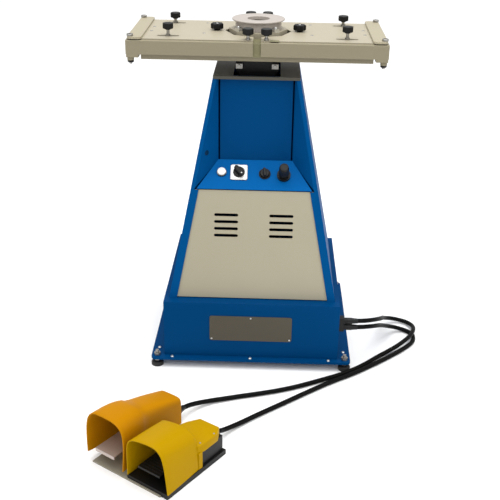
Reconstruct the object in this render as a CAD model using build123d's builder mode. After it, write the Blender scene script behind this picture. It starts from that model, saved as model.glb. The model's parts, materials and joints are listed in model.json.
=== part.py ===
from build123d import *
import os
from math import atan2, cos, hypot, pi, radians, sin, tan

# A pedal-operated pedestal press with a split sliding table round a central ring.
# Millimetres, +Z up, +Y to the back, origin on the floor under the ram's axis.

os.makedirs("parts", exist_ok=True)

# ---------------------------------------------------------------- driving dimensions

# base
base_half_x = 289.0
base_half_y = 262.0
base_corner = 14.0
base_low = 24.0
base_top = 31.0
foot_x = 272.5
foot_y = 244.0
foot_radius = 17.5
foot_height = 12.0
stud_radius = 5.0
nut_across = 17.0
nut_height = 8.0

# lower housing
housing_half_x = 251.5
housing_half_y = 243.4
housing_top = 203.0
sheet = 3.0

# tapered column
column_top = 820.0
column_top_half_x = 118.2
column_top_half_y = 105.1
column_foot_half_x = 238.0
column_foot_half_y = 213.8
front_flange = 22.5
upper_flange = 11.0
recess_half = 104.0
recess_y = -90.0
shelf_rear_z = 582.0
shelf_front_y = -158.5
shelf_front_z = 518.5
shelf_front_half = 160.5
shelf_thickness = 2.5
grille_foot_z = 206.0
grille_head_z = 514.0

# table
table_end = 345.0
table_gap = 10.5
table_half_y = 147.0
apron_low = 885.0
frame_top = 922.0
plate_top = 925.0
plate_half_y = 136.0
strip_top = 931.0
rail_wall = 4.0
bar_half_x = 307.0
bar_half_y = 132.0
bar_low = 870.0
bar_top = 882.0
corner_bolt_x = 334.0
corner_bolt_y = 134.0
cutout_radius = 91.0
clamp_knob_x = 238.0
clamp_knob_y = 93.5
clamp_slot_y = 92.0
clamp_slot_length = 60.0
clamp_slot_width = 12.0
star_knob_x = 113.3
centre_knob_x = 24.3
centre_knob_y = 126.0

# ram and work ring
rod_radius = 16.0
rod_bore = 16.05
seat_low = 917.6
ring_radius = 72.5
ring_body_radius = 63.0
ring_hole = 30.4
ring_top = 960.0
ring_low = 932.0
seat_radius = 80.0

# foot pedals, in a frame of their own turned on the floor
pedal_turn = radians(34.5)
pedal_corner = (-372.0, -708.5)
pedal_plate_top = 4.0
pedal_pivot_v = 120.0
pedal_pivot_z = 30.0
pin_radius = 4.0

# cables
cable_radius = 6.5
gland_face = 277.0
gland_y = -231.0
upper_outlet_z = 153.0
lower_outlet_z = 133.0


# ---------------------------------------------------------------- shared helpers


def save(piece, name):
    """Label a finished piece and write it."""
    piece.part.label = name
    export_step(piece.part, f"parts/{name}.step")


def block(low, high, mode=Mode.ADD):
    """A box between two opposite corners."""
    centre = [(a + b) / 2 for a, b in zip(low, high)]
    with Locations(tuple(centre)):
        Box(*[b - a for a, b in zip(low, high)], mode=mode)


def ruled_block(low_points, low_z, high_points, high_z, mode=Mode.ADD):
    """A straight-sided loft between two level polygons."""
    with BuildSketch(Plane.XY.offset(low_z)) as low:
        Polygon(*low_points, align=None)
    with BuildSketch(Plane.XY.offset(high_z)) as high:
        Polygon(*high_points, align=None)
    loft(sections=[low.sketch.face(), high.sketch.face()], ruled=True, mode=mode)


def column_half_x(z):
    """Half the column's width at a height."""
    share = (column_top - z) / (column_top - housing_top)
    return column_top_half_x + share * (column_foot_half_x - column_top_half_x)


def column_half_y(z):
    """Half the column's depth at a height."""
    share = (column_top - z) / (column_top - housing_top)
    return column_top_half_y + share * (column_foot_half_y - column_top_half_y)


# ---------------------------------------------------------------- feet and base

feet = [(sx * foot_x, sy * foot_y) for sx in (-1, 1) for sy in (-1, 1)]


def make_feet():
    with BuildPart() as levelling_feet:
        with BuildSketch():
            with Locations(*feet):
                Circle(foot_radius)
        extrude(amount=foot_height)
        fillet(levelling_feet.edges().group_by(Axis.Z)[-1], radius=4.0)
    save(levelling_feet, "levelling_feet")

    with BuildPart() as foot_studs:
        with BuildSketch(Plane.XY.offset(foot_height)):
            with Locations(*feet):
                Circle(stud_radius)
        extrude(amount=base_top + 16.0 - foot_height)
        for nut_low in (base_low - nut_height, base_top):
            with BuildSketch(Plane.XY.offset(nut_low)):
                with Locations(*feet):
                    RegularPolygon(nut_across / 2, 6, major_radius=False)
            extrude(amount=nut_height)
    save(foot_studs, "foot_studs")


def make_base_plate():
    with BuildPart() as base_plate:
        with BuildSketch(Plane.XY.offset(base_low)):
            RectangleRounded(2 * base_half_x, 2 * base_half_y, base_corner)
            with Locations(*feet):
                Circle(stud_radius + 0.5, mode=Mode.SUBTRACT)
        extrude(amount=base_top - base_low)
    save(base_plate, "base_plate")


def make_lower_housing():
    well_half_x = 200.0
    well_half_y = 175.0
    with BuildPart() as lower_housing:
        block((-housing_half_x, -housing_half_y, base_top), (housing_half_x, housing_half_y, housing_top))
        block(
            (-housing_half_x + sheet, -housing_half_y + sheet, base_top),
            (housing_half_x - sheet, housing_half_y - sheet, housing_top - sheet),
            mode=Mode.SUBTRACT,
        )
        block(
            (-well_half_x, -well_half_y, housing_top - sheet),
            (well_half_x, well_half_y, housing_top),
            mode=Mode.SUBTRACT,
        )
    save(lower_housing, "lower_housing")


def make_name_plate():
    plate_centre_z = 124.4
    with BuildPart() as name_plate:
        with BuildSketch(Plane.XZ.offset(housing_half_y)):
            with Locations((-2.0, plate_centre_z)):
                RectangleRounded(236.0, 79.0, 6.0)
        extrude(amount=2.0)
    save(name_plate, "name_plate")


# ---------------------------------------------------------------- column


def make_side_plate(side, name):
    """One splayed side of the column with its front flanges and the cheek of the recess."""
    shelf_slope = (shelf_rear_z - shelf_front_z) / (recess_y - shelf_front_y)
    cheek_low = 512.0
    cheek_high = column_top

    def outer(z):
        return column_half_x(z)

    def rect(z, inner_x, outer_x, y0, y1):
        return [(side * inner_x, y0), (side * outer_x, y0), (side * outer_x, y1), (side * inner_x, y1)]

    def skin(z):
        return rect(z, outer(z) - sheet, outer(z), -column_half_y(z), column_half_y(z))

    def flange(z, width):
        front = -column_half_y(z)
        return rect(z, outer(z) - width, outer(z) - sheet, front, front + sheet)

    def cheek(z):
        far_x = outer(z) - upper_flange
        front = -column_half_y(z)
        near = [(recess_half, recess_y), (recess_half + 3.5, recess_y)]
        far = [(far_x + 3.5, front), (far_x, front)]
        return [(side * x, y) for x, y in near + far]

    with BuildPart() as side_plate:
        ruled_block(cheek(cheek_low), cheek_low, cheek(cheek_high), cheek_high)
        # the cheek stops on the sloping control shelf
        under_y = recess_y + 10.0
        front_y = shelf_front_y - 20.0
        with BuildSketch(Plane.YZ.offset(side * recess_half - side * 1.0)) as under:
            Polygon(
                (under_y, shelf_rear_z + 10.0 * shelf_slope),
                (front_y, shelf_front_z - 20.0 * shelf_slope),
                (front_y, cheek_low - 20.0),
                (under_y, cheek_low - 20.0),
                align=None,
            )
        shelf_reach = 80.0
        extrude(under.sketch, amount=side * shelf_reach, mode=Mode.SUBTRACT)
        ruled_block(skin(housing_top), housing_top, skin(column_top), column_top)
        ruled_block(
            flange(housing_top, front_flange), housing_top, flange(grille_head_z, front_flange), grille_head_z
        )
        ruled_block(
            flange(grille_head_z, upper_flange), grille_head_z, flange(cheek_high, upper_flange), cheek_high
        )
    save(side_plate, name)


def make_rear_panel():
    def strip(z):
        half = column_half_x(z) - sheet
        back = column_half_y(z)
        return [(-half, back - sheet), (half, back - sheet), (half, back), (-half, back)]

    with BuildPart() as rear_panel:
        ruled_block(strip(housing_top), housing_top, strip(column_top), column_top)
        # air slots half-way up the panel
        first_row_z = 420.0
        row_pitch = 22.0
        for row in range(4):
            with BuildSketch(Plane.XZ.offset(-column_half_y(housing_top))):
                with Locations((0.0, first_row_z + row_pitch * row)):
                    SlotOverall(120.0, 9.0)
            extrude(amount=80.0, both=True, mode=Mode.SUBTRACT)
    save(rear_panel, "rear_panel")


def make_top_plate():
    opening_half_x = 64.0
    lip_drop = 5.0
    lip_back_y = -column_half_y(column_top - lip_drop) - 0.2
    lip_front_y = lip_back_y - sheet
    with BuildPart() as top_plate:
        block(
            (-column_top_half_x, lip_front_y, column_top),
            (column_top_half_x, column_top_half_y, column_top + sheet),
        )
        block(
            (-opening_half_x, -column_top_half_y + 5.0, column_top),
            (opening_half_x, 85.0, column_top + sheet),
            mode=Mode.SUBTRACT,
        )
        # folded lip along the front edge, clear of the side plates' flanges
        lip_half = column_top_half_x - 1.0
        block((-lip_half, lip_front_y, column_top - lip_drop), (lip_half, lip_back_y, column_top))
    save(top_plate, "top_plate")


def make_recess_panel():
    with BuildPart() as recess_panel:
        panel_half = recess_half - 4.5
        panel_low = 566.0
        block((-panel_half, recess_y + 2.0, panel_low), (panel_half, recess_y + 4.0, column_top))
    save(recess_panel, "recess_panel")


def make_grille_panel():
    slot_length = 67.5
    slot_height = 8.5
    slot_centre_x = 77.4
    first_row_z = 386.5
    row_pitch = 19.4

    def panel(z):
        half = column_half_x(z) - front_flange + 10.0
        front = -column_half_y(z) + sheet + 0.2
        return [(-half, front), (half, front), (half, front + 2.0), (-half, front + 2.0)]

    with BuildPart() as front_grille_panel:
        ruled_block(panel(grille_foot_z), grille_foot_z, panel(grille_head_z), grille_head_z)
        rows = [first_row_z + row_pitch * row for row in range(4)]
        with BuildSketch(Plane.XZ.offset(column_half_y(first_row_z))):
            with Locations(*[(sx * slot_centre_x, z) for sx in (-1, 1) for z in rows]):
                SlotOverall(slot_length, slot_height)
        extrude(amount=40.0, both=True, mode=Mode.SUBTRACT)
    save(front_grille_panel, "front_grille_panel")


# ---------------------------------------------------------------- control shelf and controls

shelf_length = hypot(recess_y - shelf_front_y, shelf_rear_z - shelf_front_z)
shelf_angle = atan2(shelf_rear_z - shelf_front_z, recess_y - shelf_front_y)
shelf = Plane(
    origin=(0.0, recess_y, shelf_rear_z),
    x_dir=(1.0, 0.0, 0.0),
    z_dir=(0.0, -sin(shelf_angle), cos(shelf_angle)),
)
button_at = (-93.0, -41.5)
cam_at = (-44.5, -41.0)
selector_at = (27.5, -44.0)
regulator_at = (81.0, -48.0)
panel_hole = 11.25


def make_control_shelf():
    with BuildPart() as control_shelf:
        with BuildSketch(shelf):
            Polygon(
                (-recess_half, 0.0),
                (recess_half, 0.0),
                (shelf_front_half, -shelf_length),
                (-shelf_front_half, -shelf_length),
                align=None,
            )
            with Locations(button_at, selector_at, cam_at):
                Circle(panel_hole, mode=Mode.SUBTRACT)
            with Locations(regulator_at):
                Circle(panel_hole + 4.0, mode=Mode.SUBTRACT)
        extrude(amount=-shelf_thickness)
    save(control_shelf, "control_shelf")


def make_control_bezels():
    with BuildPart() as control_bezels:
        for spot, outer, hole, height in ((button_at, 13.7, 10.6, 3.0), (selector_at, 16.0, 7.3, 4.0)):
            with BuildSketch(shelf):
                with Locations(spot):
                    Circle(outer)
                    Circle(hole, mode=Mode.SUBTRACT)
            extrude(amount=height)
            with BuildSketch(shelf):
                with Locations(spot):
                    Circle(panel_hole)
                    Circle(hole, mode=Mode.SUBTRACT)
            extrude(amount=-24.0)
    save(control_bezels, "control_bezels")


def make_push_button():
    with BuildPart() as push_button:
        with BuildSketch(shelf.offset(-12.0)):
            with Locations(button_at):
                Circle(10.3)
        extrude(amount=21.0)
        with BuildSketch(shelf.offset(6.8)):
            with Locations(button_at):
                Circle(11.6)
        extrude(amount=3.2)
        fillet(push_button.edges().sort_by(Axis(shelf.origin, shelf.z_dir))[-1], radius=2.0)
    save(push_button, "push_button")


def make_cam_switch():
    with BuildPart() as cam_switch_plate:
        with BuildSketch(shelf):
            with Locations(cam_at):
                RectangleRounded(48.0, 48.0, 4.0)
                Circle(6.3, mode=Mode.SUBTRACT)
        extrude(amount=3.0)
        with BuildSketch(shelf):
            with Locations(cam_at):
                Circle(panel_hole)
                Circle(6.3, mode=Mode.SUBTRACT)
        extrude(amount=-30.0)
    save(cam_switch_plate, "cam_switch_plate")

    with BuildPart() as cam_switch_handle:
        with BuildSketch(shelf.offset(-10.0)):
            with Locations(cam_at):
                Circle(6.0)
        extrude(amount=13.4)
        with BuildSketch(shelf.offset(3.4)):
            with Locations(cam_at):
                Circle(16.5)
        extrude(amount=4.0)
        with BuildSketch(shelf.offset(7.4)):
            with Locations(cam_at):
                SlotOverall(36.0, 13.5, rotation=-50.0)
        extrude(amount=12.0)
    save(cam_switch_handle, "cam_switch_handle")


def make_selector():
    with BuildPart() as selector_handle:
        with BuildSketch(shelf.offset(-12.0)):
            with Locations(selector_at):
                Circle(7.0)
        extrude(amount=16.4)
        with BuildSketch(shelf.offset(4.4)):
            with Locations(selector_at):
                Circle(13.0)
        extrude(amount=5.0)
        with BuildSketch(shelf.offset(9.4)):
            with Locations(selector_at):
                Rectangle(7.5, 25.0)
        extrude(amount=9.0)
    save(selector_handle, "selector_handle")


def make_regulator():
    with BuildPart() as regulator_body:
        with BuildSketch(shelf):
            with Locations(regulator_at):
                Circle(19.0)
                Circle(9.3, mode=Mode.SUBTRACT)
        extrude(amount=8.0)
        with BuildSketch(shelf):
            with Locations(regulator_at):
                Circle(panel_hole + 3.8)
                Circle(9.3, mode=Mode.SUBTRACT)
        extrude(amount=-40.0)
    save(regulator_body, "regulator_body")

    with BuildPart() as regulator_knob:
        with BuildSketch(shelf.offset(-20.0)):
            with Locations(regulator_at):
                Circle(9.0)
        extrude(amount=28.4)
        with BuildSketch(shelf.offset(8.4)):
            with Locations(regulator_at):
                Circle(14.0)
        extrude(amount=44.0, taper=1.5)
        fillet(regulator_knob.edges().sort_by(Axis(shelf.origin, shelf.z_dir))[-1], radius=2.5)
    save(regulator_knob, "regulator_knob")


# ---------------------------------------------------------------- press column and ram


def make_press_column():
    tube_half = 55.0
    tube_wall = 8.0
    with BuildPart() as press_column:
        with BuildSketch(Plane.XY.offset(base_top)):
            RectangleRounded(200.0, 200.0, 10.0)
            Rectangle(2 * (tube_half - tube_wall), 2 * (tube_half - tube_wall), mode=Mode.SUBTRACT)
        extrude(amount=12.0)
        with BuildSketch(Plane.XY.offset(base_top)):
            RectangleRounded(2 * tube_half, 2 * tube_half, 8.0)
            Rectangle(2 * (tube_half - tube_wall), 2 * (tube_half - tube_wall), mode=Mode.SUBTRACT)
        extrude(amount=826.0 - base_top)
    save(press_column, "press_column")

    with BuildPart() as column_head:
        block((-58.0, -60.0, 826.0), (58.0, 60.0, bar_low))
        with BuildSketch(Plane.XY.offset(826.0)):
            Circle(rod_bore)
        extrude(amount=bar_low - 826.0, mode=Mode.SUBTRACT)
    save(column_head, "column_head")

    with BuildPart() as clamp_blocks:
        for side in (-1, 1):
            block((side * 49.0 - 9.0, -72.0, 836.0), (side * 49.0 + 9.0, -60.0, 849.0))
            with BuildSketch(Plane.XZ.offset(72.0)):
                with Locations((side * 49.0, 842.5)):
                    RegularPolygon(5.0, 6)
            extrude(amount=5.0)
    save(clamp_blocks, "clamp_blocks")


def make_cylinder_and_ram():
    barrel_low = 520.0
    barrel_top = 826.0
    barrel_radius = 44.0
    barrel_bore = 31.5
    piston_low = 640.0
    head_low = 925.0
    with BuildPart() as cylinder_barrel:
        with BuildSketch(Plane.XY.offset(barrel_low)):
            Circle(barrel_radius)
        extrude(amount=barrel_top - barrel_low)
        with BuildSketch(Plane.XY.offset(barrel_low + 20.0)):
            Circle(barrel_bore)
        extrude(amount=barrel_top - barrel_low - 20.0, mode=Mode.SUBTRACT)
    save(cylinder_barrel, "cylinder_barrel")

    with BuildPart() as ram_rod:
        with BuildSketch(Plane.XY.offset(piston_low)):
            Circle(barrel_bore - 0.05)
        extrude(amount=35.0)
        with BuildSketch(Plane.XY.offset(piston_low + 35.0)):
            Circle(rod_radius)
        extrude(amount=head_low - piston_low - 35.0)
        with BuildSketch(Plane.XY.offset(head_low)):
            Circle(25.0)
        extrude(amount=18.0)
        chamfer(ram_rod.edges().group_by(Axis.Z)[-1], length=2.0)
        with BuildSketch(Plane.XY.offset(head_low + 6.0)):
            Circle(6.0)
        extrude(amount=12.0, mode=Mode.SUBTRACT)
    save(ram_rod, "ram_rod")


def make_power_pack():
    with BuildPart() as oil_tank:
        block((-230.0, -60.0, base_top), (-110.0, 180.0, 176.0))
        fillet(oil_tank.edges().filter_by(Axis.Z), radius=12.0)
    save(oil_tank, "oil_tank")

    with BuildPart() as pump_motor:
        with BuildSketch(Plane.YZ.offset(110.0)):
            with Locations((60.0, 110.0)):
                Circle(58.0)
        extrude(amount=112.0)
        block((118.0, 10.0, base_top), (214.0, 110.0, 60.0))
    save(pump_motor, "pump_motor")


# ---------------------------------------------------------------- work ring


def make_ring():
    with BuildPart() as ring_seat:
        with BuildSketch(Plane.XY.offset(seat_low)):
            RegularPolygon(seat_radius, 8)
            Circle(38.0, mode=Mode.SUBTRACT)
        extrude(amount=ring_low - seat_low)
    save(ring_seat, "ring_seat")

    rim = 4.0
    with BuildPart() as work_ring:
        with BuildSketch(Plane.XZ):
            with BuildLine():
                Polyline(
                    (ring_hole, ring_top - 10.0),
                    (ring_hole, ring_top - 4.0),
                    (ring_radius - 14.0, ring_top),
                    (ring_radius - 2.0, ring_top),
                    (ring_radius, ring_top - 2.0),
                    (ring_radius - 2.0, ring_top - rim),
                    (ring_body_radius, ring_top - rim),
                    (ring_body_radius, ring_low),
                    (ring_body_radius - 7.0, ring_low),
                    (ring_body_radius - 7.0, ring_top - 10.0),
                    close=True,
                )
            make_face()
        revolve(axis=Axis.Z)
    save(work_ring, "work_ring")

    with BuildPart() as ring_clamps:
        with PolarLocations(70.5, 4, start_angle=42.0, angular_range=360.0):
            with Locations((0.0, 0.0, ring_low + 4.5)):
                Box(12.0, 16.0, 9.0)
    save(ring_clamps, "ring_clamps")


# ---------------------------------------------------------------- table


def make_table_bed():
    with BuildPart() as base_bar:
        block((-bar_half_x, -bar_half_y, bar_low), (bar_half_x, bar_half_y, bar_top))
        with BuildSketch(Plane.XY.offset(bar_low)):
            Circle(30.0)
        extrude(amount=bar_top - bar_low, mode=Mode.SUBTRACT)
    save(base_bar, "base_bar")

    centre_half_x = 45.0
    centre_half_y = 140.0
    centre_wall = 5.0
    with BuildPart() as centre_panel:
        block((-centre_half_x, -centre_half_y, bar_top), (centre_half_x, centre_half_y, seat_low))
        block(
            (-centre_half_x + centre_wall, -centre_half_y + centre_wall, bar_top),
            (centre_half_x - centre_wall, centre_half_y - centre_wall, seat_low - centre_wall),
            mode=Mode.SUBTRACT,
        )
        with BuildSketch(Plane.XY.offset(bar_top)):
            Circle(38.0)
        extrude(amount=40.0, mode=Mode.SUBTRACT)
    save(centre_panel, "centre_panel")


def make_table_half(side, name):
    """One sliding half of the table: frame, plate, end strip and corner bolts."""

    def span(x0, x1, y0, y1, z0, z1, mode=Mode.ADD):
        block((min(side * x0, side * x1), y0, z0), (max(side * x0, side * x1), y1, z1), mode=mode)

    corners = [(side * corner_bolt_x, sy * corner_bolt_y) for sy in (-1, 1)]
    runner_low_y = 100.0
    runner_width = 12.0
    lug_low = 877.0
    boss_low = 868.0

    with BuildPart() as table_frame:
        span(table_gap, table_end, -table_half_y, table_half_y, apron_low, frame_top)
        inner_end = table_end - rail_wall
        inner_y = table_half_y - rail_wall
        span(table_gap, inner_end, -inner_y, inner_y, apron_low, frame_top - rail_wall, Mode.SUBTRACT)
        span(table_gap, table_end - 20.0, -132.0, 132.0, frame_top - rail_wall, frame_top, Mode.SUBTRACT)
        long_edges = table_frame.edges().filter_by(Axis.X).group_by(Axis.Z)[-1]
        fillet(long_edges.group_by(Axis.Y)[0] + long_edges.group_by(Axis.Y)[-1], radius=2.5)
        for sy in (-1, 1):
            y0 = sy * runner_low_y
            y1 = sy * (runner_low_y + runner_width)
            # runner that slides on the base bar
            span(52.0, inner_end, min(y0, y1), max(y0, y1), bar_top, frame_top - rail_wall)
            # corner lug with its boss
            y0 = sy * table_half_y
            y1 = sy * (table_half_y - 28.0)
            span(312.0, table_end - 1.0, min(y0, y1), max(y0, y1), lug_low, apron_low)
            with BuildSketch(Plane.XY.offset(boss_low)):
                with Locations((side * corner_bolt_x, sy * corner_bolt_y)):
                    Circle(9.0)
            extrude(amount=lug_low - boss_low)
        with BuildSketch(Plane.XY.offset(boss_low)):
            with Locations(*corners):
                Circle(4.5)
        extrude(amount=frame_top - boss_low, mode=Mode.SUBTRACT)
    save(table_frame, f"{name}_table_frame")

    with BuildPart() as table_plate:
        with BuildSketch(Plane.XY.offset(frame_top)):
            with Locations((side * (table_gap + inner_end) / 2, 0.0)):
                Rectangle(inner_end - table_gap, 2 * plate_half_y)
            RegularPolygon(cutout_radius, 8, mode=Mode.SUBTRACT)
            with Locations(*[(side * clamp_knob_x, sy * clamp_slot_y) for sy in (-1, 1)]):
                SlotOverall(clamp_slot_length, clamp_slot_width, mode=Mode.SUBTRACT)
            with Locations((side * star_knob_x, 0.0)):
                Circle(5.0, mode=Mode.SUBTRACT)
            with Locations(*[(side * centre_knob_x, sy * centre_knob_y) for sy in (-1, 1)]):
                Circle(5.0, mode=Mode.SUBTRACT)
            with Locations(*corners):
                Circle(4.5, mode=Mode.SUBTRACT)
        extrude(amount=plate_top - frame_top)
    save(table_plate, f"{name}_table_plate")

    with BuildPart() as end_strip:
        with BuildSketch(Plane.XY.offset(plate_top)):
            with Locations((side * 322.3, 0.0)):
                RectangleRounded(38.5, 292.0, 11.0)
            with Locations(*corners):
                Circle(4.5, mode=Mode.SUBTRACT)
        extrude(amount=strip_top - plate_top)
        chamfer(end_strip.edges().group_by(Axis.Z)[-1].filter_by(GeomType.LINE), length=0.8)
    save(end_strip, f"{name}_end_strip")

    with BuildPart() as corner_bolts:
        with BuildSketch(Plane.XY.offset(boss_low)):
            with Locations(*corners):
                Circle(4.0)
        extrude(amount=strip_top - boss_low)
        with BuildSketch(Plane.XY.offset(strip_top)):
            with Locations(*corners):
                Circle(8.5)
        extrude(amount=6.0)
        with BuildSketch(Plane.XY.offset(boss_low - 6.0)):
            with Locations(*corners):
                Circle(7.5)
        extrude(amount=6.0)
    save(corner_bolts, f"{name}_corner_bolts")


def make_clamp_knob(x, y, name, grip_low, grip_top, grip_radius, foot_low):
    """A round clamping knob on its stud, with a lock nut just clear of the plate."""
    with BuildPart() as knob:
        with BuildSketch(Plane.XY.offset(grip_low)):
            with Locations((x, y)):
                Circle(grip_radius)
        extrude(amount=grip_top - grip_low)
        chamfer(knob.edges().filter_by(GeomType.CIRCLE), length=1.0)
        with BuildSketch(Plane.XY.offset(foot_low)):
            with Locations((x, y)):
                Circle(4.0)
        extrude(amount=grip_low - foot_low)
        with BuildSketch(Plane.XY.offset(plate_top + 0.4)):
            with Locations((x, y)):
                Circle(6.0)
        extrude(amount=5.0)
    save(knob, name)


def make_star_knob(x, name):
    """A low lobed knob on its stud."""
    lobe_ring = 13.5
    lobes = 7
    grip_low = 928.5
    grip_top = 944.5
    with BuildPart() as star_knob:
        with BuildSketch(Plane.XY.offset(grip_low)):
            with Locations((x, 0.0)):
                Circle(lobe_ring)
                with PolarLocations(lobe_ring - 0.5, lobes, start_angle=90.0):
                    Circle(4.6)
        extrude(amount=grip_top - grip_low)
        with BuildSketch(Plane.XY.offset(plate_top + 0.4)):
            with Locations((x, 0.0)):
                Circle(8.0)
        extrude(amount=grip_low - plate_top - 0.4)
        with BuildSketch(Plane.XY.offset(905.0)):
            with Locations((x, 0.0)):
                Circle(4.0)
        extrude(amount=plate_top + 1.0 - 905.0)
    save(star_knob, name)


# ---------------------------------------------------------------- cable gland


def make_gland():
    with BuildPart() as cable_gland:
        block((housing_half_x, gland_y - 11.0, 122.0), (265.0, gland_y + 11.0, 165.0))
        fillet(cable_gland.edges().filter_by(Axis.X), radius=3.0)
        for z in (upper_outlet_z, lower_outlet_z):
            with BuildSketch(Plane.YZ.offset(265.0)):
                with Locations((gland_y, z)):
                    Circle(9.0)
            extrude(amount=gland_face - 265.0)
    save(cable_gland, "cable_gland")


# ---------------------------------------------------------------- foot pedals

across = (cos(pedal_turn), -sin(pedal_turn), 0.0)
rearward = (sin(pedal_turn), cos(pedal_turn), 0.0)


def pedal_point(u, v, z):
    """A point given across, rearward and up from the pedal plate's front left corner."""
    return (
        pedal_corner[0] + u * across[0] + v * rearward[0],
        pedal_corner[1] + u * across[1] + v * rearward[1],
        z,
    )


def pedal_floor(z):
    """A level plane in the pedals' own frame."""
    return Plane(origin=pedal_point(0.0, 0.0, z), x_dir=across, z_dir=(0.0, 0.0, 1.0))


def pedal_section(v):
    """An upright plane across the pedals, with x across and y up."""
    return Plane(origin=pedal_point(0.0, v, 0.0), x_dir=across, z_dir=tuple(-c for c in rearward))


def pedal_side(u):
    """An upright plane along the pedals, with x rearward and y up."""
    return Plane(origin=pedal_point(u, 0.0, 0.0), x_dir=rearward, z_dir=across)


def pedal_block(low, high, mode=Mode.ADD):
    """A block in the pedals' own frame."""
    with BuildSketch(pedal_floor(low[2])) as foot:
        with Locations(((low[0] + high[0]) / 2, (low[1] + high[1]) / 2)):
            Rectangle(high[0] - low[0], high[1] - low[1])
    extrude(foot.sketch, amount=high[2] - low[2], mode=mode)


def inset(points, wall):
    """A hood section moved in by the wall: two left points, two top points, two right points."""
    moves = [(wall, 0.0), (wall, -wall / 3), (wall / 2, -wall), (-wall / 2, -wall), (-wall, -wall / 3), (-wall, 0.0)]
    moved = [(p[0] + m[0], p[1] + m[1]) for p, m in zip(points, moves)]
    moved[0] = (moved[0][0], -2.0)
    moved[-1] = (moved[-1][0], -2.0)
    return moved


def hood(sections, mode=Mode.ADD):
    """Straight-sided loft through six-point sections standing across the pedals."""
    for (v0, points0), (v1, points1) in zip(sections, sections[1:]):
        with BuildSketch(pedal_section(v0)) as near:
            Polygon(*points0, align=None)
        with BuildSketch(pedal_section(v1)) as far:
            Polygon(*points1, align=None)
        loft(sections=[near.sketch.face(), far.sketch.face()], ruled=True, mode=mode)


def make_pedal_plate():
    with BuildPart() as pedal_base_plate:
        pedal_block((-2.0, -3.0, 0.0), (219.0, 228.0, pedal_plate_top))
    save(pedal_base_plate, "pedal_base_plate")


def make_pedal_guards():
    wall = 2.5
    wide = (0.0, [(-22.0, 20.0), (-17.0, 124.0), (4.0, 146.0), (76.0, 146.0), (102.0, 122.0), (104.0, 14.0)])
    waist = (96.0, [(-14.0, 14.0), (-14.0, 106.0), (3.0, 130.0), (66.0, 126.0), (80.0, 112.0), (82.0, 10.0)])
    back = (250.0, [(-6.0, 8.0), (-5.0, 68.0), (3.0, 81.0), (63.0, 81.0), (70.0, 76.0), (71.0, 4.0)])
    with BuildPart() as orange_guard:
        hood([wide, waist, back])
        inner_back = (250.0 - wall, inset(back[1], wall))
        inner_front = (-1.0, inset(wide[1], wall))
        hood([inner_front, (waist[0], inset(waist[1], wall)), inner_back], mode=Mode.SUBTRACT)
    save(orange_guard, "orange_guard")

    rim = (0.0, [(112.0, 14.0), (113.0, 104.0), (127.0, 121.0), (200.0, 133.0), (229.0, 104.0), (241.0, 14.0)])
    rear = (122.0, [(113.0, 14.0), (113.5, 98.0), (119.0, 109.0), (188.0, 117.0), (228.0, 92.0), (237.0, 14.0)])
    lid_low = 58.0
    lid_top = 80.0
    with BuildPart() as yellow_guard:
        hood([rim, rear])
        hood([(-1.0, inset(rim[1], wall)), (rear[0] + 1.0, inset(rear[1], wall))], mode=Mode.SUBTRACT)
        # lid over the switch box behind the hood, and the side wall that comes down from it
        with BuildSketch(pedal_floor(lid_low)) as lid:
            Polygon(
                (126.0, 118.0), (234.0, 118.0), (239.0, 140.0), (239.0, 190.0), (224.0, 215.0), (164.0, 215.0),
                (145.0, 183.0),
                align=None,
            )
        extrude(lid.sketch, amount=lid_top - lid_low)
        pedal_block((234.5, 118.0, 14.0), (238.0, 132.0, lid_low))
    save(yellow_guard, "yellow_guard")


def make_pedal_body(name, u_low, u_high, box_high, rear_low, tray):
    """The switch box with two ears that carry the pedal's pin."""
    ear = 7.0
    v_front = 132.0
    with BuildPart() as body:
        pedal_block((u_low, v_front, pedal_plate_top), (box_high, 178.0, 57.6))
        pedal_block((rear_low, 178.0, pedal_plate_top), (box_high, 216.0, 57.6))
        for u0 in (u_low, u_high - ear):
            pedal_block((u0, pedal_pivot_v - 10.0, pedal_plate_top), (u0 + ear, v_front, pedal_pivot_z + 10.0))
        if tray:
            # the black tray under the hood, with a foot beside the floor plate
            pedal_block((111.0, 1.0, pedal_plate_top), (239.5, 222.0, 13.7))
            pedal_block((219.5, 1.0, 0.0), (239.5, 222.0, pedal_plate_top))
        with BuildSketch(pedal_side(u_low)) as bore:
            with Locations((pedal_pivot_v, pedal_pivot_z)):
                Circle(pin_radius)
        extrude(bore.sketch, amount=u_high - u_low, mode=Mode.SUBTRACT)
    save(body, name)


def make_pedal(name, u_low, u_high, lip, tread_low, tread_high, tread_front):
    """A raised tread plate with a hub that turns on the pin between the ears."""
    hub_radius = 8.0
    arm_low = 34.5
    tread_base = 42.5
    tread_top = 45.5
    with BuildPart() as pedal:
        with BuildSketch(pedal_side(u_low)) as hub:
            with Locations((pedal_pivot_v, pedal_pivot_z)):
                Circle(hub_radius)
        extrude(hub.sketch, amount=u_high - u_low)
        pedal_block((u_low, 100.0, arm_low), (u_high, pedal_pivot_v, arm_low + 3.0))
        pedal_block((u_low, 100.0, arm_low), (u_high, 104.0, tread_top))
        pedal_block((tread_low, tread_front, tread_base), (tread_high, 104.0, tread_top))
        pedal_block((tread_low, tread_front, tread_top - lip), (tread_high, tread_front + 3.0, tread_top))
        with BuildSketch(pedal_side(u_low - 1.0)) as bore:
            with Locations((pedal_pivot_v, pedal_pivot_z)):
                Circle(pin_radius + 0.05)
        extrude(bore.sketch, amount=u_high - u_low + 2.0, mode=Mode.SUBTRACT)
    save(pedal, name)


def make_pedal_pins(spans):
    with BuildPart() as pedal_pins:
        for u_low, u_high in spans:
            with BuildSketch(pedal_side(u_low)) as pin:
                with Locations((pedal_pivot_v, pedal_pivot_z)):
                    Circle(pin_radius)
            extrude(pin.sketch, amount=u_high - u_low)
    save(pedal_pins, "pedal_pins")


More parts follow.
